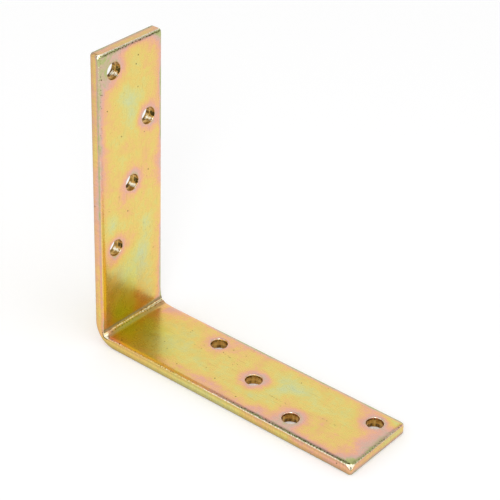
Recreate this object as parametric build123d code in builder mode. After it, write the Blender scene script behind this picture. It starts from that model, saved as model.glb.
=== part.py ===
# Angle bracket, folded from one length of flat steel bar.
# One arm stands up at the back. The other lies along the ground and points to +X.
# The origin is under the middle of the bracket, on the surface that it stands on.

from build123d import *
import os

os.makedirs("parts", exist_ok=True)

# The bar and its fold, in millimetres
arm_length = 150.0
width = 40.0
thickness = 5.5
outside_radius = 11.5
inside_radius = 4.0

# Screw holes, measured along each arm from the outside of the fold
hole_radius = 4.0
first_hole = 50.0
hole_pitch = 30.0
hole_stagger = 11.0

# A punch rounds the rim that it enters, and tears the hole wider where it leaves
rim_radius = 0.5
breakout_depth = 1.8
breakout_flare = 0.3

# Shearing rolls the inside faces down towards the cut edges
roll_width = 2.2
roll_depth = 0.45
outer_edge_radius = 0.6

# Folding squeezes the inside of the bar out at both sides
swell = 0.4
swell_reach = 5.8
swell_centre = 8.0

# The nose of the bending tool presses a crease along the fold, deeper on the far part
crease_radius = 1.3
crease_depth = 0.3
deep_crease_depth = 0.5
deep_crease_start = 4.0

half_length = arm_length / 2
half_width = width / 2
heel = -half_length
inner_wall = heel + thickness
hole_places = [first_hole + hole_pitch * step for step in range(4)]
upright_holes = list(zip((-hole_stagger, 0, hole_stagger, -hole_stagger), hole_places))
foot_holes = list(zip([heel + place for place in hole_places], (hole_stagger, 0, -hole_stagger, hole_stagger)))

# Side view of the folded bar, with the rolled corner at the end of each arm
with BuildSketch(Plane.XZ) as profile:
    with BuildLine():
        toe = Line((half_length, 0), (half_length, thickness - roll_depth))
        toe_roll = TangentArc((half_length - roll_width, thickness), toe @ 1, tangent=(1, 0))
        Polyline(toe_roll @ 0, (inner_wall, thickness), (inner_wall, arm_length - roll_width))
        top_roll = TangentArc(
            (inner_wall, arm_length - roll_width),
            (inner_wall - roll_depth, arm_length),
            tangent=(0, 1),
        )
        Polyline(top_roll @ 1, (heel, arm_length), (heel, 0), toe @ 0)
    make_face()
    fillet(profile.vertices().sort_by_distance((inner_wall, thickness))[0], radius=inside_radius)
    fillet(profile.vertices().sort_by_distance((heel, 0))[0], radius=outside_radius)

# The line that the inside faces follow, from the top of the upright to the toe
with BuildLine(Plane.XZ) as inside_line:
    FilletPolyline(
        (inner_wall, arm_length),
        (inner_wall, thickness),
        (half_length, thickness),
        radius=inside_radius,
    )


def rolled_bar(side):
    """Folded bar that reaches side each way from its middle, with both long edges rolled down."""
    depth = 2 * thickness
    with BuildPart() as bar:
        with BuildSketch(Plane.XY.offset(arm_length)):
            with BuildLine():
                left_roll = TangentArc(
                    (inner_wall, roll_width - side), (inner_wall - roll_depth, -side), tangent=(0, -1)
                )
                right_roll = TangentArc(
                    (inner_wall, side - roll_width), (inner_wall - roll_depth, side), tangent=(0, 1)
                )
                Line(left_roll @ 0, right_roll @ 0)
                Polyline(
                    right_roll @ 1,
                    (inner_wall - depth, side),
                    (inner_wall - depth, -side),
                    left_roll @ 1,
                )
            make_face()
        sweep(path=inside_line.line)
        extrude(profile.sketch, amount=side, both=True, mode=Mode.INTERSECT)
        back = bar.faces().sort_by(Axis.X)[0]
        underside = bar.faces().sort_by(Axis.Z)[0]
        outside_of_fold = bar.faces().filter_by(GeomType.CYLINDER).sort_by(SortBy.AREA)[-1]
        outline = ShapeList()
        for face in (back, underside, outside_of_fold):
            outline += face.edges().filter_by(lambda edge: abs((edge @ 0.5).Y) > side - 0.01)
        outline += back.edges().sort_by(Axis.Z)[-1:] + underside.edges().sort_by(Axis.X)[-1:]
        fillet(outline, outer_edge_radius)
    return bar.part


# The fold alone, a little wider than the bar, with gently domed sides
ball_radius = (swell_reach**2 + swell**2) / (2 * swell)
ball_middle = ball_radius - half_width - swell
with BuildPart() as swelled_fold:
    with Locations((heel + swell_centre, 0, swell_centre)):
        Cylinder(swell_reach, 2 * width, rotation=(90, 0, 0))
    with Locations((heel + swell_centre, ball_middle, swell_centre)):
        Sphere(ball_radius, mode=Mode.INTERSECT)
    with Locations((heel + swell_centre, -ball_middle, swell_centre)):
        Sphere(ball_radius, mode=Mode.INTERSECT)
    add(rolled_bar(half_width + swell), mode=Mode.INTERSECT)

with BuildPart() as angle_bracket:
    add(rolled_bar(half_width))
    add(swelled_fold.part)

    # Crease along the inside of the fold
    fold_middle = inside_radius + thickness
    surface_middle = fold_middle - inside_radius / 2**0.5
    for depth, start, end in (
        (crease_depth, -width, deep_crease_start),
        (deep_crease_depth, deep_crease_start, width),
    ):
        nose = surface_middle + (crease_radius - depth) / 2**0.5
        with BuildSketch(Plane.XZ.offset(-start)) as nose_section:
            with Locations((heel + nose, nose)):
                Circle(crease_radius)
        extrude(amount=start - end, mode=Mode.SUBTRACT)

    # Punched holes, in a zigzag along each arm
    upright_face = Plane(origin=(inner_wall, 0, 0), x_dir=(0, 1, 0), z_dir=(1, 0, 0))
    foot_face = Plane.XY.offset(thickness)
    for face, places in ((upright_face, upright_holes), (foot_face, foot_holes)):
        with Locations(face):
            with Locations(*places):
                Hole(hole_radius, depth=thickness)
        with Locations(face.offset(-thickness)):
            with Locations(*places):
                Cone(
                    hole_radius + breakout_flare,
                    hole_radius,
                    breakout_depth,
                    align=(Align.CENTER, Align.CENTER, Align.MIN),
                    mode=Mode.SUBTRACT,
                )
    rims = angle_bracket.edges().filter_by(GeomType.CIRCLE).filter_by(
        lambda edge: abs(edge.radius - hole_radius) < 0.01
    )
    upright_rims = rims.filter_by_position(Axis.X, inner_wall - 0.01, inner_wall + 0.01)
    foot_rims = rims.filter_by_position(Axis.Z, thickness - 0.01, thickness + 0.01)
    fillet(upright_rims + foot_rims, rim_radius)

angle_bracket.part.label = "angle_bracket"
export_step(angle_bracket.part, "parts/angle_bracket.step")
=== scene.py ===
# %% [markdown]
# # A yellow zinc plated angle bracket
#
# The real bracket is one length of flat steel bar, sheared off, punched with eight holes and folded once.
# It was then zinc plated and dipped in a chromate bath, which leaves a thin yellow film.
# The film is so thin that its colour drifts from green through gold to pink wherever its thickness changes.
#
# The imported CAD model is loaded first. It fixes where the bracket is and how large it is.
# Here the bracket only gets its looks.

# %% Load the fixed frame
import math

import bpy
import bmesh
import numpy as np
from mathutils import Matrix


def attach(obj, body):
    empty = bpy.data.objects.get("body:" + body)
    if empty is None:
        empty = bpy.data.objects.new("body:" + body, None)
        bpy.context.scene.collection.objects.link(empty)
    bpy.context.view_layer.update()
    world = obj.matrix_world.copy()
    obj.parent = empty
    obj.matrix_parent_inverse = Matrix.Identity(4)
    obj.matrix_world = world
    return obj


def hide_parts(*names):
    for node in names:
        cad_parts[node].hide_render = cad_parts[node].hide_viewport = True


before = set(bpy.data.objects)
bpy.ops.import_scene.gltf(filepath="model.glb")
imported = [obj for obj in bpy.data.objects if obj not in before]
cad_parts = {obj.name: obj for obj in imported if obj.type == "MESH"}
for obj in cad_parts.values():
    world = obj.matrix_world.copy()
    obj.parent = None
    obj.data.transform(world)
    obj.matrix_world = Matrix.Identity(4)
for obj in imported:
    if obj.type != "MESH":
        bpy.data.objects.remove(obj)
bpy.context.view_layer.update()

# %% [markdown]
# ## Camera
#
# The bracket was photographed from above the open side of the fold, about three quarters of a metre away.
# A long lens keeps its parallel edges nearly parallel.
# A camera could be set by eye, but a small error in its height already changes how steep the foot looks.
# So its place and its focal length were worked out from the bracket's outline and its eight holes.

# %% Camera
lens_mm = 120.217
eye = np.array((0.38192, -0.48255, 0.45880))
forward = np.array((-0.52574, 0.66448, -0.53109))
rightward = np.array((0.7719, 0.63501, 0.03037))


def stand(place, ahead, right):
    """Matrix of a thing at a place that looks ahead: its own X is right, its own Z is straight back."""
    ahead = ahead / np.linalg.norm(ahead)
    right = right - ahead * (right @ ahead)
    right /= np.linalg.norm(right)
    up = np.cross(right, ahead)
    return Matrix([[right[i], up[i], -ahead[i], place[i]] for i in range(3)] + [[0, 0, 0, 1]])


camera_data = bpy.data.cameras.new("camera")
camera_data.sensor_width = 36.0
camera_data.lens = lens_mm
camera = bpy.data.objects.new("camera", camera_data)
camera.matrix_world = stand(eye, forward, rightward)
bpy.context.scene.collection.objects.link(camera)
bpy.context.scene.camera = camera
bpy.context.scene.view_settings.view_transform = "Standard"
print("the camera is", round(float(np.linalg.norm(eye)), 3), "m from the middle of the bracket's foot")

# %% [markdown]
# ## Helpers for materials
#
# Colours are written as the hex codes that a screen shows.
# A renderer adds light up in linear values, so each code is turned once.
# Every node is added by one function, which sets it and links it, so that a tree reads from top to bottom.

# %% Colours and nodes
def linear(code):
    """Linear RGBA of an sRGB hex code: the low part divided by 12.92, the rest by the 2.4 power curve."""
    srgb = np.array([int(code[i : i + 2], 16) for i in (1, 3, 5)]) / 255
    return (*np.where(srgb <= 0.04045, srgb / 12.92, ((srgb + 0.055) / 1.055) ** 2.4), 1.0)


def put(tree, kind, inputs=None, output=None, **settings):
    """Add one node, and give back the output that is named, or the first that its settings turn on.

    Settings are the node's own properties. Inputs are values, or the sockets that feed it, and each is
    called by its name or its number.
    """
    made = tree.nodes.new("ShaderNode" + kind)
    for name, value in settings.items():
        setattr(made, name, value)
    for name, value in (inputs or {}).items():
        named = [socket for socket in made.inputs if socket.enabled and socket.name == name]
        socket = named[0] if named else made.inputs[name]
        if isinstance(value, bpy.types.NodeSocket):
            tree.links.new(value, socket)
        else:
            socket.default_value = value
    live = [socket for socket in made.outputs if socket.enabled]
    chosen = [socket for socket in live if socket.name == output] + live
    return chosen[0] if chosen else made


def fresh_tree(owner):
    """The empty node tree of a material or a world."""
    owner.use_nodes = True
    owner.node_tree.nodes.clear()
    return owner.node_tree


print("film gold in linear:", [round(float(v), 3) for v in linear("#E8D076")[:3]])

# %% [markdown]
# ## Soft studio light
#
# Plated metal shows its surroundings, so the light is mostly a bright, nearly white room.
# A few lamps in a black room would leave dark faces, and an even white world would hide the fold.
# So the room is white, with three soft grey boards that the rounded edges and the inside of the fold mirror.
# A softbox beside the camera puts the small white glints on the corners that face it.

# %% Room
room = bpy.data.worlds.new("studio_room")
bpy.context.scene.world = room
tree = fresh_tree(room)
way = put(tree, "TexCoord", output="Generated")
light_level = 1.0
grey_boards = (
    ((0.53, 0.68, 0.50), 24, 0.50),
    ((-0.48, 0.08, 0.87), 30, 0.60),
    ((0.05, 0.62, 0.78), 24, 0.32),
)
for centre, reach, depth in grey_boards:
    centre = tuple(np.array(centre) / np.linalg.norm(centre))
    facing = put(tree, "VectorMath", {0: way, 1: centre}, output="Value", operation="DOT_PRODUCT")
    rim, core = math.cos(math.radians(reach)), math.cos(math.radians(0.4 * reach))
    spread = {"Value": facing, "From Min": rim, "From Max": core, "To Min": 1.0, "To Max": 1.0 - depth}
    board = put(tree, "MapRange", spread, interpolation_type="SMOOTHSTEP")
    light_level = put(tree, "Math", {0: light_level, 1: board}, operation="MULTIPLY")
height = put(tree, "SeparateXYZ", {"Vector": way}, output="Z")
under_horizon = {"Value": height, "From Min": 0.0, "From Max": -0.12, "To Min": 1.0, "To Max": 0.4}
below = put(tree, "MapRange", under_horizon)
light_level = put(tree, "Math", {0: light_level, 1: below}, operation="MULTIPLY")
lit = put(tree, "Background", {"Strength": light_level, "Color": (1, 1, 1, 1)})
seen = put(tree, "Background", {"Strength": 1.0, "Color": (1, 1, 1, 1)})
to_camera = put(tree, "LightPath", output="Is Camera Ray")
put(tree, "OutputWorld", {"Surface": put(tree, "MixShader", {0: to_camera, 1: lit, 2: seen})})
print("the room has", len(grey_boards), "grey boards")

# %% Softbox beside the camera
softbox_data = bpy.data.lights.new("softbox", "AREA")
softbox_data.shape = "DISK"
softbox_data.size = 0.30
softbox_data.energy = 1.6
softbox = bpy.data.objects.new("softbox", softbox_data)
softbox_place = np.array((0.42, -0.62, 0.62))
softbox.matrix_world = stand(softbox_place, -softbox_place, np.cross(-softbox_place, (0, 0, 1)))
bpy.context.scene.collection.objects.link(softbox)
print("the softbox is", round(float(np.linalg.norm(softbox_place)), 2), "m away")

# %% [markdown]
# ## White floor
#
# The bracket stands on matt white paper. Without it the room would be white too, but the bracket would float.
# Paper scatters light evenly, so a plain diffuse shader is enough. A little glow lifts the open paper to
# white and leaves the shadow. Only the camera and mirrored rays see it.

# %% Floor
floor_radius, floor_drop, floor_corners = 0.75, 0.0001, 64
turn = np.linspace(0, 2 * np.pi, floor_corners, endpoint=False)
floor_points = floor_radius * np.stack([np.cos(turn), np.sin(turn), 0 * turn], -1)
floor_mesh = bpy.data.meshes.new("floor")
floor_mesh.from_pydata(floor_points.tolist(), [], [tuple(range(floor_corners))])
floor = bpy.data.objects.new("floor", floor_mesh)
floor.location.z = -floor_drop
bpy.context.scene.collection.objects.link(floor)

paper_glow = 0.19
paper = bpy.data.materials.new("matt_white_paper")
tree = fresh_tree(paper)
ray = put(tree, "LightPath").node.outputs
shown = put(tree, "Math", {0: ray["Is Camera Ray"], 1: ray["Is Glossy Ray"]}, operation="MAXIMUM")
shown = put(tree, "Math", {0: shown, 1: ray["Is Transmission Ray"]}, operation="MAXIMUM")
lift = put(tree, "Math", {0: shown, 1: paper_glow}, operation="MULTIPLY")
glow = put(tree, "Emission", {"Strength": lift, "Color": (1, 1, 1, 1)})
matt = put(tree, "BsdfDiffuse", {"Color": linear("#F0F0F0")})
put(tree, "OutputMaterial", {"Surface": put(tree, "AddShader", {0: matt, 1: glow})})
floor_mesh.materials.append(paper)
print("floor radius:", floor_radius, "m")

# %% [markdown]
# ## The folded bar as a strip
#
# A folded bar is easiest to describe before it is folded: how far along the strip (s), how far across (y)
# and how deep below the inside face (w), all in millimetres. One function then folds the strip.
# A box with bevels and a boolean for each hole would also do, but its faces would be too coarse for rolled
# edges and a crease.

# %% Sizes of the bar
arm_length, width, thickness = 150.0, 40.0, 5.5
half = width / 2
inside_radius, outside_radius = 4.0, 11.5
fold_start = 12.0
arm_run = arm_length - fold_start
fold_run = 2 * (fold_start - thickness - inside_radius) + math.pi / 2 * inside_radius
strip_length = 2 * arm_run + fold_run
foot_start = arm_run + fold_run - fold_start
hole_radius, hole_pitch, first_hole, hole_stagger = 4.0, 30.0, 50.0, 11.0
hole_places = [first_hole + hole_pitch * step for step in range(4)]
upright_holes = zip(hole_places, (-hole_stagger, 0, hole_stagger, -hole_stagger))
foot_holes = zip(hole_places, (hole_stagger, 0, -hole_stagger, hole_stagger))
holes = [(arm_length - place, across) for place, across in upright_holes]
holes += [(foot_start + place, across) for place, across in foot_holes]
print("the strip is", round(strip_length, 2), "mm long on its inside face")


# %% Fold the strip
def round_corner(share, corner, radius):
    """Point at a share of the way round a corner: a straight run, a quarter circle and a straight run."""
    run = fold_start - corner - radius
    walked = share * (2 * run + math.pi / 2 * radius)
    angle = np.clip((walked - run) / radius, 0, math.pi / 2)
    before = np.clip(run - walked, 0, None)
    after = np.clip(walked - run - math.pi / 2 * radius, 0, None)
    return corner + radius * (1 - np.cos(angle)) + after, corner + radius * (1 - np.sin(angle)) + before


def fold(s, y, w):
    """Strip to space: the inside and outside lines go round their own corners, and depth blends the two."""
    share = np.clip((s - arm_run) / fold_run, 0, 1)
    up, out = np.clip(arm_run - s, 0, None), np.clip(s - arm_run - fold_run, 0, None)
    x_in, z_in = round_corner(share, thickness, inside_radius)
    x_out, z_out = round_corner(share, 0.0, outside_radius)
    depth = w / thickness
    x = x_in + (x_out - x_in) * depth + out - arm_length / 2
    z = z_in + (z_out - z_in) * depth + up
    return np.stack([x, y, z], -1)


fold_point = fold(np.array([arm_run + fold_run / 2]), np.zeros(1), np.zeros(1))[0]
print("the inside of the fold is at", fold_point.round(2))

# %% [markdown]
# ## A closed skin with room for the holes
#
# The skin is the outside of a lattice: rows along the strip, columns across it, levels through its thickness.
# Rows and columns crowd together near the cut edges and in the fold, where the shape changes fast.
# Twelve millimetre squares are left open at the holes, and rings fill them later.

# %% Lattice lines
from_edge = np.array([0, 0.12, 0.25, 0.4, 0.55, 0.7, 0.9, 1.1, 1.4, 1.8, 2.4, 3.0])
square = 6.0
row_step = 0.88
end_rows = np.append(from_edge, [3.5, 4.0])
stops = {4.0, arm_run} | {arm_length - place + side for place in hole_places for side in (-square, square)}
stops = sorted(stops)
stretches = [np.linspace(a, b, round((b - a) / row_step) + 1)[1:] for a, b in zip(stops, stops[1:])]
arm_rows = np.concatenate([end_rows, *stretches])
fold_rows = np.linspace(arm_run, arm_run + fold_run, 77)[1:-1]
rows = np.concatenate([arm_rows, fold_rows, (strip_length - arm_rows)[::-1]])
middle_columns = np.arange(-2 * half + 8, 2 * half - 7) / 2
near_columns = np.append(from_edge, 3.5) - half
columns = np.concatenate([near_columns, middle_columns, -near_columns[::-1]])
levels = np.array([0, 0.1, 0.22, 0.36, 0.55, 0.8, 1.2, 1.8, 2.6, 3.4, 4.1, 4.6, 4.9, 5.1, 5.25, 5.4, 5.5])
counts = np.array([len(rows), len(columns), len(levels)])
print("rows, columns and levels:", counts)


# %% Lattice faces
def flat_side(first, second, third, order):
    """Corner keys of each cell on one side of the lattice.

    A point's key is one number: its row times the number of columns, plus its column, and that times the
    number of levels, plus its level.
    """
    row, column, level = np.meshgrid(first, second, third, indexing="ij")
    key = ((row * counts[1] + column) * counts[2] + level).squeeze()
    cells = np.stack([key[:-1, :-1], key[1:, :-1], key[1:, 1:], key[:-1, 1:]], -1)
    return cells if order else cells[..., ::-1]


along, across, through = (np.arange(n) for n in counts)
last_row, last_column, last_level = counts - 1
inner = flat_side(along, across, [0], True)
outer = flat_side(along, across, [last_level], False)
left_open = np.zeros(inner.shape[:2], bool)
row_middle, column_middle = (rows[1:] + rows[:-1]) / 2, (columns[1:] + columns[:-1]) / 2
for hole_s, hole_y in holes:
    left_open |= (np.abs(row_middle - hole_s) < square)[:, None] & (np.abs(column_middle - hole_y) < square)
cut_sides = [
    flat_side(along, [0], through, False),
    flat_side(along, [last_column], through, True),
    flat_side([0], across, through, True),
    flat_side([last_row], across, through, False),
]
quads = np.concatenate([inner[~left_open], outer[~left_open]] + [side.reshape(-1, 4) for side in cut_sides])
keys, quads = np.unique(quads, return_inverse=True)
quads = quads.reshape(-1, 4)
s = rows[keys // (counts[1] * counts[2])]
y = columns[keys // counts[2] % counts[1]]
w = levels[keys % counts[2]]
print(len(keys), "lattice points and", len(quads), "faces")

# %% [markdown]
# ## Punched holes
#
# A punch rounds the rim that it enters and shears a smooth wall for a little over half the thickness.
# Then the steel tears, which leaves a step and a rougher, slightly wider zone down to the back.
# A boolean with a cylinder can't tear. So each hole is a stack of rings that starts as the square in the
# lattice, closes to a circle, goes down through the bar and opens to the square on the back.

# %% Rings of a hole
closing = np.array([0.72, 0.46, 0.24, 0.09])
rim_turn = np.radians([22.5, 45, 67.5, 90])
rim_radius, back_radius = 0.5, 4.42
smooth_wall = [1.1, 1.8, 2.5, 3.0]
torn_wall = [3.35, 3.6, 3.9, 4.4, 4.9, 5.35, 5.5]
torn_radius = [4.02, 4.14, 4.2, 4.22, 4.26, 4.3, back_radius]
ring_blend = np.concatenate([closing, np.zeros(16), closing[::-1]])
ring_radius = np.concatenate([
    np.full(5, hole_radius + rim_radius),
    hole_radius + rim_radius * (1 - np.sin(rim_turn)),
    np.full(4, hole_radius),
    torn_radius,
    np.full(4, back_radius),
])
ring_level = np.concatenate([
    np.zeros(5),
    rim_radius * (1 - np.cos(rim_turn)),
    smooth_wall,
    torn_wall,
    np.full(4, thickness),
])
ring_tear = np.concatenate([np.zeros(13), [0.2, 1, 1, 1, 0.8, 0.6, 0.3], np.zeros(4)])
print(len(ring_level), "rings in each hole")


# %% Wobble, soft hill and hole borders
def ripple(u, v, seed):
    """Smooth wobble between -1 and 1: four crossed sine waves with fixed, seeded directions and phases."""
    dice = np.random.default_rng(seed)
    tilts, phases = dice.uniform(0, 2 * np.pi, 4), dice.uniform(0, 2 * np.pi, 4)
    paces = dice.uniform(0.6, 1.7, 4)
    waves = [
        np.sin(pace * (u * np.cos(tilt) + v * np.sin(tilt)) + phase)
        for tilt, phase, pace in zip(tilts, phases, paces)
    ]
    return sum(waves) / 2.2


def bell(distance, reach, power=2):
    """A soft hill: e to the power of minus (distance divided by reach) squared, or to another power.

    It is 1 where the distance is nought and 0.37 at the reach.
    """
    return np.exp(-((distance / reach) ** power))


def border(hole_s, hole_y):
    """Lattice rows and columns round a hole's square, in order."""
    i = np.flatnonzero(np.abs(rows - hole_s) < square + 0.01)
    j = np.flatnonzero(np.abs(columns - hole_y) < square + 0.01)
    row = np.concatenate([i[:-1], np.full(len(j) - 1, i[-1]), i[:0:-1], np.full(len(j) - 1, i[0])])
    column = np.concatenate([np.full(len(i) - 1, j[0]), j[:-1], np.full(len(i) - 1, j[-1]), j[:0:-1]])
    return row, column


print("points round one hole:", len(border(*holes[0])[0]))

# %% Fill the holes
fine_depth, wide_depth = 0.07, 0.05
step_level, step_reach, step_wander = 3.5, 0.5, 0.35
ring_s, ring_y, ring_w, ring_quads = [], [], [], []
first_point = len(keys)
for number, (hole_s, hole_y) in enumerate(holes):
    row, column = border(hole_s, hole_y)
    ds, dy = rows[row] - hole_s, columns[column] - hole_y
    around = np.arctan2(dy, ds)
    blend, level = ring_blend[:, None], ring_level[:, None]
    fine_tear = fine_depth * ripple(around * 9, level * 4, 40 + number)
    wide_tear = wide_depth * ripple(around * 3, level, 60 + number)
    radius = ring_radius[:, None] + ring_tear[:, None] * (fine_tear + wide_tear)
    ring_s.append(hole_s + blend * ds + (1 - blend) * radius * np.cos(around))
    ring_y.append(hole_y + blend * dy + (1 - blend) * radius * np.sin(around))
    at_step = bell(level - step_level, step_reach)
    step_wobble = ripple(around * 2.2, number + 0 * around, 80 + number)
    ring_w.append(level + step_wander * at_step * step_wobble)
    top_key = (row * counts[1] + column) * counts[2]
    top, bottom = np.searchsorted(keys, top_key), np.searchsorted(keys, top_key + last_level)
    rings = np.vstack([top, first_point + np.arange(ring_s[-1].size).reshape(ring_s[-1].shape), bottom])
    beside = np.roll(rings, -1, axis=1)
    ring_quads.append(np.stack([rings[:-1], rings[1:], beside[1:], beside[:-1]], -1).reshape(-1, 4))
    first_point += ring_s[-1].size
s = np.concatenate([s, *[ring.ravel() for ring in ring_s]])
y = np.concatenate([y, *[ring.ravel() for ring in ring_y]])
w = np.concatenate([w, *[ring.ravel() for ring in ring_w]])
quads = np.concatenate([quads, *ring_quads])
strip_s, strip_y, strip_w = s.copy(), y.copy(), w.copy()
print(len(s), "points and", len(quads), "faces with", len(holes), "holes")

# %% [markdown]
# ## Edges
#
# Cutting drags the inside faces down at the cut edges and leaves a ragged line there.
# The outside edges are only broken, and the corners were knocked down in the plating barrel.
# A bevel would round all of them alike, so the depth below the inside face is worked out from the distance
# to the cut edge instead.

# %% Round the edges
inner_edge, outer_edge = 0.3, 0.6
edge_radius = np.where(w < thickness / 2, inner_edge, outer_edge)
core_s = np.clip(s, edge_radius, strip_length - edge_radius)
core_y = np.clip(y, -half + edge_radius, half - edge_radius)
core_w = np.clip(w, inner_edge, thickness - outer_edge)
push = np.stack([s - core_s, y - core_y, w - core_w], -1)
size = np.linalg.norm(push, axis=1)
on_lattice = np.arange(len(s)) < len(keys)
scale = np.where(on_lattice & (size > 1e-9), edge_radius / np.maximum(size, 1e-9), 1.0)
s, y, w = core_s + push[:, 0] * scale, core_y + push[:, 1] * scale, core_w + push[:, 2] * scale

corner_radius = 1.5
over_s = np.clip(corner_radius - np.minimum(s, strip_length - s), 0, None)
over_y = np.clip(corner_radius - (half - np.abs(y)), 0, None)
corner_pull = 1 - np.maximum(over_s, over_y) / np.maximum(np.hypot(over_s, over_y), 1e-9)
s = s + corner_pull * over_s * np.where(s < strip_length / 2, 1, -1)
y = y - corner_pull * over_y * np.sign(y)
print("points pulled in at the corners:", int(((corner_pull * over_s) > 0.001).sum()))

# %% Roll the cut edges down
roll_width, roll_depth = 2.2, 0.45
roll_radius = (roll_width**2 + roll_depth**2) / (2 * roll_depth)
from_side, from_tip = half - np.abs(strip_y), np.minimum(strip_s, strip_length - strip_s)
from_cut = np.minimum(from_side, from_tip)
is_near, on_foot, at_tip = strip_y < 0, strip_s > strip_length / 2, from_tip <= from_side


def roll(distance):
    """Depth of the rolled edge: an arc that starts flat, one roll width in from the edge."""
    reach = np.clip(roll_width - distance, 0, None)
    return roll_radius - np.sqrt(roll_radius**2 - reach**2)


def slope_down(distance, reach, slope):
    """Depth of a knocked-down corner: nothing beyond reach, then a short curve and a straight slope."""
    inside = np.clip(reach - distance, 0, None)
    return slope * inside**2 / (inside + 0.7)


near_face = np.clip(1 - strip_w / thickness, 0, 1)
on_face = strip_w < 0.01
run = np.where(at_tip, strip_y, strip_s)
ragged = ripple(run * 3.1, strip_w * 0.3, 11) + 0.6 * ripple(run * 7.3, strip_w * 0.3, 12)
from_corner = from_side + from_tip
at_toe_corner = slope_down(from_corner, reach=2.9, slope=1.0)
at_top_corner = slope_down(from_corner, reach=2.8, slope=0.55)
knocked = np.where(is_near & on_foot, at_toe_corner, at_top_corner * np.where(is_near, 1, 0.4))
bend = strip_s - arm_run - fold_run / 2
from_pinch = from_side + 1.1 * np.abs(bend - 0.3)
pinched = slope_down(from_pinch, reach=2.8, slope=0.75) * is_near
groove_place = np.where(at_tip & on_foot, 0.55, 0.85) + 0.18 * ragged
groove_width, groove_depth = 0.32, 0.08
groove = bell(from_cut - groove_place, groove_width) * on_face
w = w + (np.hypot(roll(from_side), roll(from_tip)) + knocked + pinched) * near_face
w = w + groove_depth * groove * np.clip(0.7 + 0.5 * ragged, 0, 1.5)
print("deepest corner is", round(float(knocked.max()), 2), "mm down")

# %% [markdown]
# ## Crease and swell
#
# The nose of the bending tool pressed a crease along the fold, deeper on the far part.
# The steel that was squeezed there swelled out at both sides of the bar.
# Both are small changes to points that already exist, so no part of the skin is cut or joined.

# %% Crease along the fold
crease_radius, crease_step = 1.1, 4.0
least_depth, more_when_far, uneven = 0.16, 0.22, 0.05
bead_height, wave_height, face_drop = 0.07, 0.025, 0.02
far_part = 1 / (1 + np.exp(-4 * (strip_y - crease_step)))
in_crease = bend + 0.55 - 0.15 * far_part + 0.10 * ripple(strip_y * 2.3, 0 * strip_y, 21)
crease_depth = least_depth + more_when_far * far_part + uneven * ripple(strip_y * 3.7, 0 * strip_y, 22)
arc = np.sqrt(np.clip(crease_radius**2 - in_crease**2, 0, None)) - crease_radius
crease = np.clip(arc + crease_depth, 0, None)
bead = np.clip(ripple(strip_y * 5.2, bend * 2.0, 23), 0, None)
bead = bead * bell(in_crease, 0.55) * (0.4 + far_part)
wave = wave_height * ripple(strip_s / 9, strip_y / 7, 31) * np.clip(from_cut / 4, 0, 1)
w = w + (crease - bead_height * bead) * near_face**3 + (wave + face_drop) * on_face
print("the crease is up to", round(float(crease.max()), 2), "mm deep")

# %% Swell at the sides of the fold
swell, swell_reach, swell_centre, most_swell = 0.4, 5.8, 8.0, 0.336
swell_from, swell_over = 14, 6
place = fold(s, y, w)
ball_radius = (swell_reach**2 + swell**2) / (2 * swell)
off_centre = np.hypot(place[:, 0] + arm_length / 2 - swell_centre, place[:, 2] - swell_centre)
dome = np.sqrt(np.clip(ball_radius**2 - off_centre**2, 0, None)) - ball_radius + swell
towards_side = np.clip((np.abs(y) - swell_from) / swell_over, 0, 1) ** 2
place[:, 1] += np.sign(y) * np.clip(dome, 0, most_swell) * towards_side
print("box in mm:", place.min(0).round(3), place.max(0).round(3))

# %% Mesh
mm = 0.001
bracket_mesh = bpy.data.meshes.new("folded_bar")
bracket_mesh.vertices.add(len(place))
bracket_mesh.vertices.foreach_set("co", (place * mm).astype(np.float32).ravel())
bracket_mesh.loops.add(quads.size)
bracket_mesh.loops.foreach_set("vertex_index", quads.ravel().astype(np.int32))
bracket_mesh.polygons.add(len(quads))
bracket_mesh.polygons.foreach_set("loop_start", np.arange(0, quads.size, 4, dtype=np.int32))
bracket_mesh.polygons.foreach_set("use_smooth", np.ones(len(quads), bool))
bracket_mesh.update(calc_edges=True)
bracket_mesh.validate()
shape = bmesh.new()
shape.from_mesh(bracket_mesh)
bmesh.ops.recalc_face_normals(shape, faces=shape.faces)
open_edges = sum(not edge.is_manifold for edge in shape.edges)
print("open edges:", open_edges, "and triangles:", 2 * len(quads))
print("volume in mm3:", round(shape.calc_volume() / mm**3))
shape.to_mesh(bracket_mesh)
shape.free()
bracket = bpy.data.objects.new("folded_bracket", bracket_mesh)
bpy.context.scene.collection.objects.link(bracket)

# %% [markdown]
# ## The colour of the film
#
# Where the chromate film is thinnest it looks pale green. As it thickens it turns yellow green, gold, orange
# and pink, and it is green again at the sharp edges, where most of it grows.
# Colours could be painted by hand, but one number, the film, keeps them in their natural order.
# It is gold to begin with, and wide soft clouds make it thinner or thicker.

# %% Clouds in the film
def cloud(s0, y0, long, wide, strength):
    """A soft patch: a bell curve along and across the strip."""
    return strength * np.exp(-(((strip_s - s0) / long) ** 2) - (((strip_y - y0) / wide) ** 2))


def fade(value, start, end):
    """0 before start, 1 after end, smooth between."""
    share = np.clip((value - start) / (end - start), 0, 1)
    return share * share * (3 - 2 * share)


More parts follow.
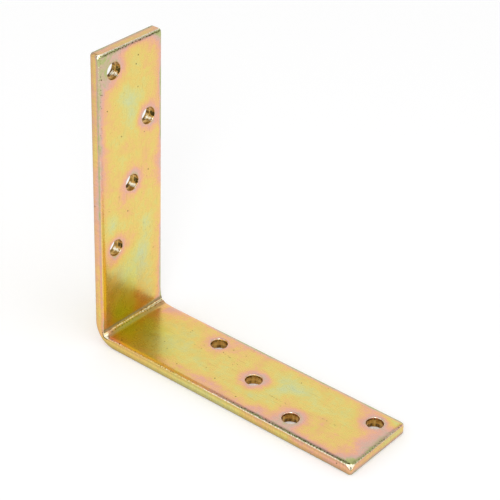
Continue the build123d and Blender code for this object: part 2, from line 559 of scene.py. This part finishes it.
# Each cloud has its place along and across the arm, its reach both ways, in millimetres, and its strength.
upright_clouds = (
    (26, -2, 9, 6, -0.27),
    (38, 1, 8, 6, -0.26),
    (111, 5, 11, 5, -0.30),
    (97, 9, 6, 4, -0.20),
    (87, -13, 6, 3, -0.22),
    (9, -15, 5, 5, 0.34),
    (14, 12, 9, 5, 0.10),
    (60, 10, 9, 5, 0.10),
    (78, -3, 8, 6, 0.12),
    (126, 12, 14, 7, -0.15),
    (120, -6, 11, 7, -0.30),
    (133, -17, 9, 4, 0.34),
    (50, -3, 7, 5, 0.10),
    (101, -2, 6, 5, 0.10),
)
foot_clouds = (
    (17, 16, 8, 5, 0.16),
    (20, -6, 12, 8, -0.30),
    (62, -15, 20, 3, 0.26),
    (100, -15, 10, 3, 0.14),
    (40, 0, 16, 9, -0.20),
    (45, 4, 7, 4, 0.22),
    (93, 4, 11, 7, -0.20),
    (101, 9, 11, 6, -0.13),
    (82, -10, 6, 4, -0.24),
    (63, 12, 14, 4, 0.10),
    (118, -4, 11, 6, 0.06),
    (131, 2, 9, 2, -0.14),
    (144, -4, 6, 14, 0.34),
    (140, 16, 5, 4, 0.20),
    (143, 18, 6, 5, -0.95),
)
gold_film = 0.42
film = np.full(len(s), gold_film)
for s0, *spot in upright_clouds:
    film += cloud(s0, *spot)
for x0, *spot in foot_clouds:
    film += cloud(foot_start + x0, *spot)
print("film on the faces from", film.min().round(2), "to", film.max().round(2))

# %% [markdown]
# ## Film round the holes
#
# More film grows on the worked steel round a punched hole, which shows as a pink ring with a mauve rim.
# Each ring could be a cloud of its own, but the distance to the nearest hole gives all eight at once.

# %% Thicker round the holes
pink, mauve = 0.84, 1.0
ring_reach, rim_reach = 4.2, 0.9
hole_pull = (0.80, 0.90, 1.0, 0.85, 0.65, 1.0, 0.95, 0.85)
from_holes = np.array([np.hypot(strip_s - s0, strip_y - y0) - hole_radius for s0, y0 in holes])
from_hole = np.clip(from_holes.min(0), 0, None)
nearest_hole = from_holes.argmin(0)
film += (pink - film) * np.array(hole_pull)[nearest_hole] * bell(from_hole, ring_reach)
film += (mauve - film) * bell(from_hole, rim_reach)
print("points within 3 mm of a hole:", int((from_hole < 3).sum()))

# %% [markdown]
# ## Film along the edges
#
# Towards an edge the film grows through pink to green, more in some places than in others.
# One strength for a whole edge would look like a drawn border. So each edge has a few stations: places along
# its arm in millimetres, and the strengths there. The strength changes evenly from one to the next.

# %% Thicker along the edges
foot_x = strip_s - foot_start
edge_stations = {
    "near_upright": (
        (0, 12, 34, 58, 75, 92, 128, 138),
        (1.1, 1.1, 0.7, 0.7, 0.3, 0.0, 0.0, 0.7),
    ),
    "far_upright": (
        (0, 22, 40, 50, 58, 74, 84, 105, 125, 138),
        (1.1, 0.7, 0.2, 0.4, 0.8, 0.8, 0.4, 0.2, 0.6, 0.8),
    ),
    "near_foot": (
        (0, 12, 22, 40, 55, 70, 90, 105, 130, 150),
        (0.7, 0.7, 0.3, 0.15, 0.2, 0.6, 0.7, 0.85, 0.9, 1.0),
    ),
    "far_foot": (
        (0, 20, 36, 50, 64, 80, 100, 120, 135, 150),
        (0.4, 0.4, 0.3, 0.4, 0.65, 0.55, 0.3, 0.5, 0.6, 0.1),
    ),
}
at_edge = {
    edge: np.interp(foot_x if "foot" in edge else strip_s, places, strengths)
    for edge, (places, strengths) in edge_stations.items()
}
on_side = np.where(
    is_near,
    np.where(on_foot, at_edge["near_foot"], at_edge["near_upright"]),
    np.where(on_foot, at_edge["far_foot"], at_edge["far_upright"]),
)
face_limit, edge_limit = 0.86, 1.12
side_gain, side_reach, side_power = 0.56, 4.6, 1.5
tip_gain, tip_reach = 0.44, 4.0
less_at_toe = 1 - 0.7 * fade(strip_y, 8, 16) * on_foot
film = np.minimum(film, face_limit)
film += side_gain * on_side * bell(from_side, side_reach, side_power)
film += tip_gain * bell(from_tip, tip_reach, side_power) * less_at_toe
film = np.minimum(film, edge_limit)
print("film with edges from", film.min().round(2), "to", film.max().round(2))

# %% Green line on the sharp edges
green = 1.16
sharp_foot = np.where(is_near, fade(foot_x, 60, 95), 0.95 * fade(foot_x, 30, 45))
sharp_far = 0.9 * fade(strip_s, 12, 22) * fade(strip_s, 60, 52) + 0.7 * fade(strip_s, 96, 106)
sharp_upright = np.where(is_near, 0.45 * fade(on_side, 0.1, 0.8), sharp_far)
sharp_tip = np.where(on_foot, 0.6, 0.8)
sharp = np.where(at_tip, sharp_tip, np.where(on_foot, sharp_foot, sharp_upright))
thin_line, wide_line = bell(from_cut, 1.1), bell(from_cut, 1.7, 4)
film += (green - film) * sharp * np.where(is_near | at_tip, thin_line, wide_line)
print("points in the green line:", int((film > edge_limit).sum()))

# %% [markdown]
# ## Film on the cut faces
#
# The sheared faces are rougher than the rolled ones, and the film lies on them in bands that run lengthwise.
# They could have a material of their own, but then the colour would break at the edge.
# So the same film number goes on down the cut face, with clouds along it and a band at each side.

# %% Film on the cut faces
side_clouds = ((12, 22, -0.02), (45, 8, -0.14), (72, 24, 0.26), (100, 14, 0.04), (136, 14, -0.14))
foot_side_clouds = ((24, 14, 0.06), (68, 24, -0.26), (103, 8, 0.10), (113, 5, -0.16), (138, 18, 0.42))
side_film = np.where(on_foot, 0.43, 0.52) + 0.08 * ripple(strip_s / 9, strip_y / 12, 51)
for s0, long, strength in side_clouds:
    side_film += cloud(s0, strip_y, long, 1, strength)
for x0, long, strength in foot_side_clouds:
    side_film += cloud(foot_start + x0, strip_y, long, 1, strength)
upright_crest = (0.85 - 0.4 * fade(strip_s, 70, 120)) * (1.13 - side_film)
beside_crest = np.where(on_foot, 0.25 * (0.72 - side_film), upright_crest)
beside_back = np.where(on_foot, -0.04, 0.6 * (0.70 - side_film))
side_film += beside_crest * fade(strip_w, 2.2, 1.2) + beside_back * fade(strip_w, 2.7, 3.9)
print("film on the sides from", side_film.min().round(2), "to", side_film.max().round(2))

# %% Film on the ends
tip_film = 0.62 + 0.08 * ripple(strip_y / 5, strip_w / 3, 53) - 0.26 * fade(strip_y, -8, 16) * on_foot
tip_film += (edge_limit - tip_film) * 0.85 * fade(strip_w, 3.3, 4.5)
cut_film = np.where(at_tip, tip_film, side_film)
edge_blend, back_margin = 0.6, 0.4
film += (cut_film - film) * np.clip(strip_w / edge_blend, 0, 1) * (strip_w < thickness - back_margin)
print("film on the ends from", tip_film.min().round(2), "to", tip_film.max().round(2))

# %% [markdown]
# ## Dark marks and painted shade
#
# Shearing and pressing leave fine dark lines: along the cut edges, beside the crease, between its beads, and
# in the pinch at its near end. They are partly painted shade: along the cut edges they also stand in for the
# dark studio that the rolled edge mirrors, and in the crease and the pinch for the shade there.
# They could be cut into the mesh, but they are finer than its faces. The mesh only keeps how strong each mark
# is at each point, as an attribute, and the material breaks it up with noise.

# %% Dark marks and painted shade
dark_near = np.where(on_foot, 0.24 + 0.38 * fade(foot_x, 58, 102), 0.32 - 0.32 * fade(strip_s, 30, 70))
dark_line = np.where(at_tip, np.where(on_foot, 0.42, 0.70), np.where(is_near, dark_near, 0.20))
dark_crest = np.where(on_foot, 0.40 - 0.28 * fade(foot_x, 50, 70), 0.10)
on_crest = bell(from_cut, 0.38) * bell(strip_w, 0.35)
end_spot = np.exp(-(((bend - 0.2) / 2.4) ** 2) - (((strip_w - 1.1) / 0.75) ** 2)) * is_near
beside_crease = 0.45 * bell(in_crease + 0.62, 0.24)
below_crease = 0.50 * bell(in_crease - 0.85 - 0.1 * far_part, 0.24)
between_beads = 0.60 * far_part * bell(in_crease - 0.15, 0.20)
# Dark lines: partly painted reflection of the dark studio along the edges, and painted shade in the crease.
dark = groove * dark_line + dark_crest * on_crest * (is_near & ~at_tip) + end_spot * (from_side < 0.7)
dark += (beside_crease + below_crease + between_beads) * on_face
print("points in a dark mark:", int((dark > 0.3).sum()))

# %% [markdown]
# ## Painted highlights
#
# The bottom of the crease, the crests of the edges and the knocked-down corners get painted highlights.
# A small lamp could make each glint, but only from one side. A paler patch of metal glints from all sides.

# %% Painted highlights
bright_near = np.where(on_foot, 0.30 + 0.30 * fade(foot_x, 50, 75), 0.18 + 0.12 * fade(strip_s, 25, 5))
bright_line = np.where(at_tip, np.where(on_foot, 0.45, 0.80), np.where(is_near, bright_near, 0.25))
crease_glint = bell(in_crease, 0.34 + 0.34 * far_part) * on_face
facets = np.clip((knocked + pinched) / 0.6, 0, 1) * (strip_w < 0.4) * is_near
bright_facets = np.where(on_foot, 0.90, 0.50) * facets
# Painted highlights: paler metal on the crests, the foot's groove, the crease and the corner facets.
bright = on_crest * bright_line + 0.10 * groove * on_foot + (0.56 + 0.1 * far_part) * crease_glint
bright += bright_facets
dark = dark * (1 - facets) + 0.35 * facets * (from_corner < 1.4)
print("points in a bright mark:", int((bright > 0.3).sum()))

# %% [markdown]
# ## Light in the holes
#
# A hole's wall mirrors the opposite wall and a dark part of the studio, and its rim catches the light.
# A darker studio would show this too, but it would dull the faces as well. So the marks are placed by the
# angle round the hole on the upright, where the walls are seen best, and by depth on the foot.

# %% Light in the holes
to_hole = np.array([np.degrees(np.arctan2(strip_y - y0, strip_s - s0)) for s0, y0 in holes])
around_hole = np.take_along_axis(to_hole, nearest_hole[None], 0)[0]
in_hole = from_hole < 0.6
on_upright_wall = in_hole * ~on_foot * (strip_w > 0.1) * (strip_w < 4.5)
dark += 0.85 * on_upright_wall * bell(around_hole - 78, 20) * (strip_w < 2.9)
bright += 0.75 * on_upright_wall * bell(around_hole - 40, 15)
bright += 0.40 * on_upright_wall * bell(around_hole - 135, 22)
dark += 0.50 * in_hole * on_foot * bell(strip_w - 1.1, 0.35)
bright += 0.60 * in_hole * on_foot * bell(strip_w - 0.22, 0.20) * (strip_w > 0.02)
print("points in the holes:", int(in_hole.sum()))

# %% [markdown]
# ## Fine scuffs
#
# Bulk handling leaves a few short scratches, darker than the film that they cut.
# Noise could scatter them, but a few that are placed look more like real knocks than many that are alike.

# %% Fine scuffs
scuff_strength, scuff_half_width = 0.34, 0.45
scuffs = (
    ((foot_start + 55, 7.5), (foot_start + 67, 4.0)),
    ((foot_start + 92, -4.0), (foot_start + 103, -4.4)),
    ((foot_start + 120, -2.0), (foot_start + 129, -2.2)),
    ((foot_start + 41, 3.2), (foot_start + 47, 2.6)),
    ((72.5, -8.6), (77.0, -8.8)),
    ((96.5, 10.0), (99.0, 8.6)),
)
for (s0, y0), (s1, y1) in scuffs:
    length = math.hypot(s1 - s0, y1 - y0)
    walked = np.clip(((strip_s - s0) * (s1 - s0) + (strip_y - y0) * (y1 - y0)) / length**2, 0, 1)
    off_line = np.hypot(strip_s - s0 - walked * (s1 - s0), strip_y - y0 - walked * (y1 - y0))
    dark += scuff_strength * bell(off_line, scuff_half_width) * on_face
print("scuffs:", len(scuffs))

# %% [markdown]
# ## Painted shade and sheen
#
# A dull khaki darkening lies low on the cut faces, under the outside edges and in the hollows beside the
# crease.
# It is painted shade: low on the cut faces and under the edges it stands in for the mirrored contact shadow
# on the floor, and beside the crease for the shade of the fold. It also darkens bands on the upright's cut
# faces.
# The rolled near edge beside the fold gets a painted sheen: a brighter yellow where it mirrors the bright
# room.
# Noise could break these up like the marks, but the real ones have no ragged border. So they are soft tints.

# %% Painted shade
on_cut = (from_cut < 0.7) * fade(strip_w, 0.4, 0.9)
upright_bands = fade(strip_w, 2.2, 1.4) + fade(strip_w, 2.6, 4.0)
foot_bands = 0.40 * fade(strip_w, 2.6, 4.0) + 0.30 * fade(strip_w, 2.0, 1.2)
cut_bands = 0.01 + 0.10 * fade(strip_s, 60, 30) + 0.10 * np.where(on_foot, 0, upright_bands)
cut_bands += foot_bands * np.where(at_tip, 0.5, 1) * on_foot
under_edge = 0.55 * bell(from_cut, 0.6) * bell(thickness - strip_w, 0.6)
above_crease = 0.92 * bell(in_crease + 1.25, 0.80) * on_face
under_crease = 0.45 * bell(in_crease - 1.8, 0.9) * on_face
# Painted shade: the khaki darkening of the cut faces, the outside edges and the hollows beside the crease.
painted_shade = on_cut * cut_bands + under_edge + above_crease + under_crease
print("points with tarnish:", int((painted_shade > 0.1).sum()))

# %% Painted sheen on the edge beside the fold
sheen_upright = fade(strip_s, 80, 122) * fade(strip_s, 137, 126)
sheen_foot = 0.7 * fade(foot_x, 48, 30) * fade(foot_x, 10, 20)
# Painted sheen: a brighter yellow band along the rolled near edge beside the fold.
painted_sheen = np.where(on_foot, sheen_foot, sheen_upright) * bell(from_side - 1.3, 0.9) * is_near * on_face
print("points that are polished:", int((painted_sheen > 0.1).sum()))

# %% [markdown]
# ## Painted deep gold in the fold
#
# Light that bounces twice between the arms is coloured twice, so the inside of the fold is a deep gold, olive
# in the middle and amber towards the edges and the crease.
# The renderer works out the double bounce, and this painted reflection and shade darkens it further. So two
# numbers are kept: how deep the painted gold is, and how amber.

# %% Painted deep gold
near_band = bell(from_side, 3.0) * is_near
# Painted reflection and shade: how deep the painted gold of the fold is.
deep = np.exp(-((bend / 26) ** 2) - (((strip_y + 6) / 17) ** 2)) * (1 - 0.55 * near_band)
amber = fade(strip_y, -2, 10) + 0.9 * bell(from_side, 7.0) * is_near
amber += 0.6 * bell(bend, 5) * (bend < 0) + 0.45 * ripple(strip_s / 5, strip_y / 4, 61) * on_face
print("points in the deep gold:", int((deep > 0.3).sum()))

# %% [markdown]
# ## Marks for the material
#
# Film and scratches are skin deep, and the painted shade and highlights are colour only. So they belong in
# the material and not in the shape.
# A picture wrapped round the bar could carry them, but it would be a second file with a pixel size of its
# own. So each mark is an attribute of the mesh, one number at each point, which the material reads by name.

# %% Keep the marks on the mesh
below_rim = np.where(on_foot, fade(strip_w, 0.50, 0.9), fade(strip_w, 0.0, 0.14))
in_bore = in_hole * below_rim * (strip_w < thickness - 0.01)
in_groove = bell(in_crease, 0.9) * on_face
marks = {
    "film": film,
    "cut": np.clip(1.2 - from_cut / 0.5, 0, 1) * fade(strip_w, 0.0, 0.4),
    "bore": in_bore,
    "torn": in_bore * fade(strip_w, 3.1, 3.7),
    "dark": np.clip(dark, 0, 1),
    "bright": np.clip(bright, 0, 1),
    "painted_shade": np.clip(painted_shade, 0, 1),
    "painted_sheen": painted_sheen,
    "amber": np.clip(amber, 0, 1),
    "deep": deep,
    "crease": in_groove,
    "beaded": np.clip(in_groove + 0.5 * on_crest * (dark_line > 0.3), 0, 1),
}


def keep(name, values, kind, field):
    """Store one value, or one vector, at each point of the mesh."""
    layer = bracket_mesh.attributes.new(name, kind, "POINT")
    layer.data.foreach_set(field, np.asarray(values, np.float32).ravel())


keep("strip", np.stack([strip_s, strip_y, strip_w], -1), "FLOAT_VECTOR", "vector")
for name, values in marks.items():
    keep(name, values, "FLOAT", "value")
print("marks kept:", ", ".join(marks))

# %% [markdown]
# ## Yellow passivated zinc on rolled steel
#
# Zinc is electroplated on the bar and turned yellow in a chromate dip. The metal under the film mirrors its
# surroundings, and the rolled steel below leaves the plating half glossy, with a fine pebble and scratches.
# A painted plastic look would be the mistake here, so it is drawn as a metal whose colour follows the film.
# The film's number gets wide drifts, wisps and a fine mottle from three sizes of noise.

# %% Film thickness and colour
yellow_zinc = bpy.data.materials.new("yellow_passivated_zinc_on_rolled_steel")
tree = fresh_tree(yellow_zinc)
at = put(tree, "Attribute", output="Vector", attribute_name="strip")
mark = {name: put(tree, "Attribute", output="Fac", attribute_name=name) for name in marks}

drift_mm, wisp_mm, mottle_mm = 12.0, 4.0, 1.3
drifts = ((drift_mm, 4.0, 0.6, 0.60), (wisp_mm, 2.0, 1.2, 0.40), (mottle_mm, 2.0, 0.0, 0.16))
thick = mark["film"]
for size_mm, detail, distortion, amount in drifts:
    noise = {"Vector": at, "Scale": 1 / size_mm, "Detail": detail, "Distortion": distortion}
    drift = put(tree, "TexNoise", noise)
    drift = put(tree, "Math", {0: drift, 1: amount, 2: -amount / 2}, operation="MULTIPLY_ADD")
    thick = put(tree, "Math", {0: thick, 1: drift}, operation="ADD")
ramp_end = 1.25
steps = (
    (0.00, "#CDD6A4"),
    (0.15, "#D6D692"),
    (0.30, "#E0D480"),
    (0.43, "#E8CE74"),
    (0.57, "#EDC57A"),
    (0.70, "#EFB98A"),
    (0.82, "#EAB19B"),
    (0.94, "#DBB6A5"),
    (1.03, "#CCB898"),
    (1.12, "#B9BE80"),
    (ramp_end, "#AEB076"),
)
colour = put(tree, "ValToRGB", {"Fac": put(tree, "Math", {0: thick, 1: ramp_end}, operation="DIVIDE")})
ramp = colour.node.color_ramp
while len(ramp.elements) < len(steps):
    ramp.elements.new(0.5)
for element, (film_level, code) in zip(ramp.elements, steps):
    element.position, element.color = film_level / ramp_end, linear(code)
print("film colours:", len(steps))

# %% [markdown]
# ## Tints over the film
#
# The painted deep gold of the fold, the painted sheen on the near edge and the painted khaki shade lie over
# the film's own colour.
# Each could be one more step of the colour ramp, but they don't follow from the film's thickness. So each is
# mixed in by its mark. The gold only darkens, because a second bounce of light takes colour away.

# %% Painted deep gold, sheen and shade
deepest = 0.82
# Painted reflection and shade of the fold: a darker, deeper gold, olive to amber.
tint = {"Factor": mark["amber"], "A": linear("#D8CE20"), "B": linear("#F4A222")}
gold = put(tree, "Mix", tint, data_type="RGBA")
depth = put(tree, "Math", {0: mark["deep"], 1: deepest}, operation="MULTIPLY")
tint = {"Factor": depth, "A": colour, "B": gold}
colour = put(tree, "Mix", tint, data_type="RGBA", blend_type="DARKEN")
# Painted sheen and painted shade: a bright yellow on the near edge, and a khaki darkening.
for name, code in (("painted_sheen", "#FFD24E"), ("painted_shade", "#8A7E5A")):
    tint = {"Factor": mark[name], "A": colour, "B": linear(code)}
    colour = put(tree, "Mix", tint, data_type="RGBA")
print("nodes with the tints:", len(tree.nodes))

# %% [markdown]
# ## Pinholes and scratches
#
# Gas bubbles leave a few pinholes in the zinc, and the rolls draw faint scratches along the bar.
# Both could be modelled, but they have hardly any depth. So one is a sparse pattern of cells, and the other
# is noise that is stretched along the bar.
# The finest ones are too small to show in the render. They are drawn as coarse as they need to be: pinholes
# up to 0.9 millimetres wide, and scratches about half a millimetre apart.

# %% Pinholes
speck_gap_mm = 4.0
speck_core, speck_rim = 0.055, 0.115
cell = put(tree, "TexVoronoi", {"Vector": at, "Scale": 1 / speck_gap_mm}).node.outputs
chance = put(tree, "SeparateColor", {"Color": cell["Color"]}, output="Red")
chosen = put(tree, "MapRange", {"Value": chance, "From Min": 0.56, "From Max": 0.84})
close = put(tree, "MapRange", {"Value": cell["Distance"], "From Min": speck_rim, "From Max": speck_core})
speck = put(tree, "Math", {0: chosen, 1: close}, operation="MULTIPLY")
colour = put(tree, "Mix", {"Factor": speck, "A": colour, "B": linear("#6A5530")}, data_type="RGBA")
print("a pinhole is up to", 2 * speck_rim * speck_gap_mm, "mm wide")

# %% Scratches
scratch_mm, stretch = 0.5, 0.05
lengthwise = put(tree, "VectorMath", {0: at, 1: (stretch, 1, 1)}, operation="MULTIPLY")
scratch = put(tree, "TexNoise", {"Vector": lengthwise, "Scale": 1 / scratch_mm, "Detail": 1.0})
scratch = put(tree, "MapRange", {"Value": scratch, "From Min": 0.64, "From Max": 0.74, "To Max": 0.35})
colour = put(tree, "Mix", {"Factor": scratch, "A": colour, "B": linear("#B59A58")}, data_type="RGBA")
print("a scratch is about", scratch_mm / stretch, "mm long")

# %% [markdown]
# ## Cut faces and bores
#
# A shear and a punch drag fine lines through the thickness, and below them the steel tears and darkens.
# Grooves in the mesh would do this, but they are too fine for it. So noise is stretched through the
# thickness. It shades the cut faces faintly, and a coarser copy shades the walls of the holes from dark to
# pale gold. The finest lines are too small to show in the render, so both are drawn as coarse as they need
# to be.

# %% Cut faces and bores
drag_mm, streak_mm, drag_stretch = 0.6, 1.4, 0.08
thicknesswise = put(tree, "VectorMath", {0: at, 1: (1, 1, drag_stretch)}, operation="MULTIPLY")
shear = put(tree, "TexNoise", {"Vector": thicknesswise, "Scale": 1 / drag_mm, "Detail": 2.0})
shading = {"Value": shear, "From Min": 0.35, "From Max": 0.65, "To Min": 0.14, "To Max": 0.0}
shading = put(tree, "MapRange", shading)
shading = put(tree, "Math", {0: shading, 1: mark["cut"]}, operation="MULTIPLY")
colour = put(tree, "Mix", {"Factor": shading, "A": colour, "B": linear("#8E7A48")}, data_type="RGBA")

streak = put(tree, "TexNoise", {"Vector": thicknesswise, "Scale": 1 / streak_mm, "Detail": 2.0})
streak = put(tree, "MapRange", {"Value": streak, "From Min": 0.40, "From Max": 0.60})
tint = {"Factor": streak, "A": linear("#BE8E42"), "B": linear("#DCB262")}
sheared = put(tree, "Mix", tint, data_type="RGBA")
tint = {"Factor": streak, "A": linear("#6E5020"), "B": linear("#BC944C")}
broken = put(tree, "Mix", tint, data_type="RGBA")
wall = put(tree, "Mix", {"Factor": mark["torn"], "A": sheared, "B": broken}, data_type="RGBA")
colour = put(tree, "Mix", {"Factor": mark["bore"], "A": colour, "B": wall}, data_type="RGBA")
print("nodes with the bores:", len(tree.nodes))

# %% [markdown]
# ## Ragged lines
#
# The dark marks, partly painted shade, and the painted highlights have torn borders. A mark could be mixed in
# by its strength, but that would blur it. So noise is added to the strength first, and the sum is cut off: a
# strong mark covers all of its place, and a weaker one only where the noise is on its side.
# The finest teeth are too small to show in the render, so they are drawn 0.8 millimetres wide.

# %% Ragged lines
tooth_mm, tooth_depth = 0.8, 2.2
cut_from, cut_to, least = 0.35, 0.65, 0.25
tooth = put(tree, "TexNoise", {"Vector": at, "Scale": 1 / tooth_mm, "Detail": 2.0, "Roughness": 0.6})
# Painted highlight colours: near white, and yellower in the crease.
tint = {"Factor": mark["crease"], "A": linear("#FFF6DC"), "B": linear("#FFEFB8")}
shine = put(tree, "Mix", tint, data_type="RGBA")
# The bright marks are painted highlights, and the dark marks are fine lines that are partly painted shade.
for name, sign, line_colour in (("bright", 1, shine), ("dark", -1, linear("#544822"))):
    swing = sign * tooth_depth
    wobble = put(tree, "Math", {0: tooth, 1: swing, 2: -swing / 2}, operation="MULTIPLY_ADD")
    present = put(tree, "Math", {0: mark[name], 1: least}, operation="DIVIDE", use_clamp=True)
    cover = put(tree, "Math", {0: wobble, 1: mark[name]}, operation="ADD")
    cover = put(tree, "MapRange", {"Value": cover, "From Min": cut_from, "From Max": cut_to})
    cover = put(tree, "Math", {0: cover, 1: present}, operation="MULTIPLY")
    colour = put(tree, "Mix", {"Factor": cover, "A": colour, "B": line_colour}, data_type="RGBA")
print("nodes with the ragged lines:", len(tree.nodes))

# %% [markdown]
# ## Relief and gloss
#
# Rolled steel under zinc has a fine pebble, and its gloss drifts a little from place to place.
# The larger forms are in the mesh. The pebble could be a displacement, but it is far too fine for the mesh,
# so it is a bump. It is also too fine to show in the render, so it is drawn 0.7 millimetres wide.

# %% Relief
pebble_mm, dent_mm = 0.7, 1.8
scratch_depth, dent_gain, bead_gain = 0.4, 25.0, 6.0
bump_strength, bump_height_m = 0.6, 0.000016
pebble = put(tree, "TexNoise", {"Vector": at, "Scale": 1 / pebble_mm, "Detail": 2.0})
face_relief = put(tree, "Math", {0: scratch, 1: -scratch_depth, 2: pebble}, operation="MULTIPLY_ADD")
rough = put(tree, "Math", {0: mark["cut"], 1: mark["bore"]}, operation="MAXIMUM")
relief = put(tree, "Mix", {"Factor": rough, "A": face_relief, "B": shear}, data_type="FLOAT")
dents = put(tree, "TexNoise", {"Vector": at, "Scale": 1 / dent_mm, "Detail": 1.0})
dents = put(tree, "Math", {0: dents, 1: mark["bore"]}, operation="MULTIPLY")
relief = put(tree, "Math", {0: dents, 1: dent_gain, 2: relief}, operation="MULTIPLY_ADD")
beads = put(tree, "Math", {0: mark["beaded"], 1: tooth}, operation="MULTIPLY")
relief = put(tree, "Math", {0: beads, 1: bead_gain, 2: relief}, operation="MULTIPLY_ADD")
normal = put(tree, "Bump", {"Height": relief, "Strength": bump_strength, "Distance": bump_height_m})
print("nodes with the relief:", len(tree.nodes))

# %% Gloss and metal
gloss_mm, smoothest, roughest = 6.0, 0.22, 0.32
gloss = put(tree, "TexNoise", {"Vector": at, "Scale": 1 / gloss_mm, "Detail": 3.0})
gloss = {"Value": gloss, "From Min": 0.3, "From Max": 0.7, "To Min": smoothest, "To Max": roughest}
gloss = put(tree, "MapRange", gloss)
zinc = {"Base Color": colour, "Metallic": 1.0, "Roughness": gloss, "Normal": normal}
put(tree, "OutputMaterial", {"Surface": put(tree, "BsdfPrincipled", zinc)})
bracket_mesh.materials.append(yellow_zinc)
print("nodes in the plating:", len(tree.nodes))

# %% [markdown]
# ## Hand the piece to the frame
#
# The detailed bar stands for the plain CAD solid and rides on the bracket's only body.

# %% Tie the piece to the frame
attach(bracket, "root")
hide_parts("angle_bracket")
